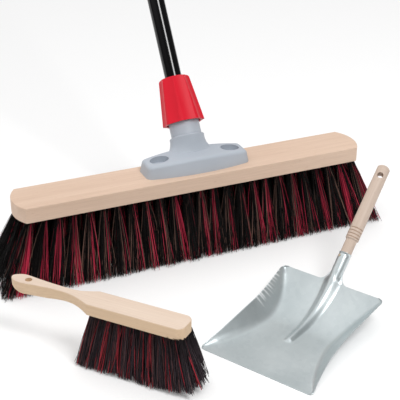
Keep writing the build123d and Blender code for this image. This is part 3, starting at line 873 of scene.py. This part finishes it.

# %% [markdown]
# A cut across the pan is now a list of points from the left rim to the right rim. The two halves have the
# same shape, and each point also says how much painted highlight lightens the metal there: the tops of the
# ridges, above all on the left wall, where they show.

# %% Cut across the pan
middle_points, floor_points, wall_points = 73, 17, 29
middle_columns = np.linspace(-1.0, 1.0, middle_points)
floor_columns = np.linspace(0.0, 1.0, floor_points + 1)[1:]
wall_columns = np.linspace(0.0, 1.0, wall_points + 1)[1:]
right_highlight = 0.2


def pan_line(run):
    """Points (x, level, painted highlight) across the sheet at a run, from the left rim to the right rim.
    """
    floor_half, reach, height, squeeze = pan_cut(run)
    fold_start = floor_half - fold_soft
    half = [middle_half + (fold_start - middle_half) * c for c in floor_columns]
    half += [fold_start + (reach + fold_soft) * c for c in wall_columns]
    right = []
    for x in half:
        past = x - floor_half
        level = fold_level(past, height / reach, min(fold_soft, reach))
        ridge = wall_ridges(run / scoop_run, max(0.0, past) / reach)
        right.append((middle_half + (x - middle_half) * squeeze, level + ridge, ridge))
    left = [(-x, level, ridge) for x, level, ridge in reversed(right)]
    # The right wall's ridges get only a weak painted highlight.
    right = [(x, level, ridge * right_highlight) for x, level, ridge in right]
    middle = [(c * middle_half, rib_level(c * middle_half, run), 0.0) for c in middle_columns]
    return left + middle + right


print("a cut has", len(pan_line(0.0)), "points")

# %% [markdown]
# The grid has more lines where the shape changes fast: at the round corners and along the ridges. Two
# small functions collect the points and the faces of the whole sheet.

# %% Grid of the pan
front_lines, fore_lines, ridge_lines, back_lines = 9, 60, 110, 11
half_run = 0.5 * scoop_run
runs = np.unique(np.concatenate([
    np.linspace(0.0, front_round, front_lines),
    np.linspace(front_round, half_run, fore_lines),
    np.linspace(half_run, scoop_run - back_round, ridge_lines),
    np.linspace(scoop_run - back_round, scoop_run, back_lines),
]))
points, faces = [], []


def add_line(line):
    """Adds a line of points and returns their numbers."""
    first = len(points)
    points.extend(line)
    return list(range(first, len(points)))


def add_strip(low, high, closed=False):
    """Fills the strip between two lines with faces."""
    count = len(low)
    for k in range(count if closed else count - 1):
        n = (k + 1) % count
        faces.append((low[k], low[n], high[n], high[k]))


lines, ridge_highlights = [], []
for run in runs.tolist():
    cut = pan_line(run)
    lines.append(add_line([pan_to_row(x, run, level + sheet / 2) for x, level, highlight_share in cut]))
    ridge_highlights += [highlight_share for x, level, highlight_share in cut]
for low, high in zip(lines[:-1], lines[1:]):
    add_strip(low, high)
print("pan grid:", len(lines), "lines of", len(lines[0]), "points")

# %% [markdown]
# Behind the back edge the sheet narrows on both sides in a long round and is rolled up into the neck.
# The funnel starts as the last cut of the pan and ends as the upper half of the tube, a little inside
# it, so the tube takes over without a step.

# %% Funnel
tube_radius = neck_radius - sheet / 2
funnel_length, funnel_lines = 24.0, 18
funnel_sink, funnel_narrows = 0.3, 16.0


def rolled_share(past):
    """How far the sheet is rolled into a tube at a distance past the back edge."""
    return smooth_step(past / funnel_length)


def funnel_level(x, past):
    """Height of the sheet between the bell of the rib and the round of the tube."""
    rolled = rolled_share(past)
    radius = tube_radius - funnel_sink
    round_top = sqrt(max(0.0, radius * radius - x * x))
    half = rib_back_half + (tube_radius - rib_back_half) * smooth_step(past / funnel_narrows)
    return (bell(x, half, rib_back_height) + sheet / 2) * (1 - rolled) + round_top * rolled


first_middle = floor_points + wall_points
edge = lines[-1][first_middle:first_middle + middle_points]
for k in range(1, funnel_lines + 1):
    turn = radians(90) * k / funnel_lines
    past = funnel_length * (1 - cos(turn))
    half = tube_radius + (middle_half - tube_radius) * (1 - sin(turn))
    across = [(c * half, funnel_level(c * half, past)) for c in middle_columns]
    next_edge = add_line([pan_to_row(x, scoop_run + past, level) for x, level in across])
    add_strip(edge, next_edge)
    edge = next_edge
print("funnel of", funnel_lines, "lines")

# %% [markdown]
# The neck is a plain tube of rings. It starts a little thinner under the funnel, and near its rim it is
# crimped onto the wood and flares at the very end, so the rings stand closer there.

# %% Neck
tube_turns = 48
tube_tuck = 0.6
crimp_depth, crimp_place, crimp_half = 0.55, 3.2, 1.5
rim_flare, rim_zone, rim_step = 0.35, 7.0, 0.5
plain_rings, rim_rings = 16, 22
circle = [2 * pi * k / tube_turns for k in range(tube_turns)]
stations = np.concatenate([
    np.linspace(0.0, neck_length - rim_zone, plain_rings),
    np.linspace(neck_length - rim_zone + rim_step, neck_length, rim_rings),
])
tube_lines = []
for past in stations.tolist():
    from_rim = neck_length - past
    crimp = crimp_depth * np.exp(-(((from_rim - crimp_place) / crimp_half) ** 2))
    flare = rim_flare * smooth_step(1 - from_rim)
    radius = tube_radius - crimp + flare - tube_tuck * (1 - rolled_share(past))
    ring = [pan_to_row(radius * cos(a), scoop_run + past, radius * sin(a)) for a in circle]
    tube_lines.append(add_line(ring))
for low, high in zip(tube_lines[:-1], tube_lines[1:]):
    add_strip(low, high, closed=True)
print("neck of", len(tube_lines), "rings")

# %% [markdown]
# Points and faces become one mesh, the painted highlight values go with it as an attribute of its points,
# and the Solidify modifier turns the surface into a sheet, half its thickness to each side.

# %% Pan sheet
pan_mesh = bpy.data.meshes.new("pan_pressed_sheet")
pan_mesh.from_pydata(points, [], faces)
pan_mesh.polygons.foreach_set("use_smooth", np.ones(len(faces), dtype=bool))
# The painted highlight of each point is kept as a point attribute.
ridge_highlight = np.zeros(len(points), dtype=np.float32)
ridge_highlight[:len(ridge_highlights)] = ridge_highlights
pan_mesh.attributes.new("ridge_highlight", "FLOAT", "POINT").data.foreach_set("value", ridge_highlight)
pan_piece = bpy.data.objects.new("pan_pressed_sheet", pan_mesh)
bpy.context.collection.objects.link(pan_piece)
thickness = pan_piece.modifiers.new("sheet_thickness", "SOLIDIFY")
thickness.thickness = sheet * mm
thickness.offset = 0.0
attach(pan_piece, "dustpan")
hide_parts("pan_sheet")
print("pan sheet:", len(points), "points", len(faces), "faces")

# %% [markdown]
# Galvanised steel is dull zinc: a metal with a soft gleam and a faint pattern of crystals, long rolling
# marks from the mill, and soft clouds where the zinc has dulled. Cells of a Voronoi texture give the
# crystals, stretched noise the marks and a large noise the clouds. On the tops of the ridges the metal is
# painted lighter and less metallic, a painted highlight.

# %% Galvanised finish
highlight_span, metal_span, rough_span = (0.1, 0.7), (0.72, 0.35), (0.33, 0.39)
highlight_zinc = (0.95, 0.97, 0.98, 1.0)
galvanised, zinc_shader = new_material("galvanised")
zinc_space = object_space(galvanised)
crystal_inputs = {"Vector": zinc_space, "Scale": 130.0, "Randomness": 1.0}
crystal = add(galvanised, "ShaderNodeTexVoronoi", crystal_inputs)
marks_inputs = {"Vector": zinc_space, "Rotation": (0, 0, -pan_turn), "Scale": (500.0, 14.0, 40.0)}
marks_space = add(galvanised, "ShaderNodeMapping", marks_inputs).outputs["Vector"]
marks = noise(galvanised, marks_space, detail=4.0)
cloud_inputs = {"Vector": zinc_space, "W": 2.1, "Scale": 14.0, "Detail": 1.0}
cloud = add(galvanised, "ShaderNodeTexNoise", cloud_inputs, noise_dimensions="4D").outputs["Fac"]

crystal_stops = [(0.0, (0.595, 0.652, 0.665)), (1.0, (0.645, 0.7, 0.71))]
crystal_tone = ramp(galvanised, crystal.outputs["Color"], crystal_stops)
mark_tone = ramp(galvanised, marks, [(0.3, (0.985, 0.985, 0.985)), (0.7, plain)])
cloud_tone = ramp(galvanised, cloud, [(0.38, (0.87, 0.885, 0.89)), (0.62, plain)])
zinc = mix_colour(galvanised, 1.0, crystal_tone, mark_tone, "MULTIPLY")
zinc = mix_colour(galvanised, 1.0, zinc, cloud_tone, "MULTIPLY")
# Painted highlight: on the ridge tops the zinc is lighter and less metallic.
highlight_share = add(galvanised, "ShaderNodeAttribute", attribute_name="ridge_highlight").outputs["Fac"]
zinc = mix_colour(galvanised, rescale(galvanised, highlight_share, highlight_span), zinc, highlight_zinc)
zinc_metal = rescale(galvanised, highlight_share, highlight_span, metal_span)
zinc_rough = rescale(galvanised, marks, to=rough_span)
link(galvanised, zinc, zinc_shader.inputs["Base Color"])
link(galvanised, zinc_metal, zinc_shader.inputs["Metallic"])
link(galvanised, zinc_rough, zinc_shader.inputs["Roughness"])
bump(galvanised, zinc_shader, crystal.outputs["Distance"], strength=0.03, distance=0.0001)
pan_mesh.materials.append(galvanised)
print("pan wears", galvanised.name)
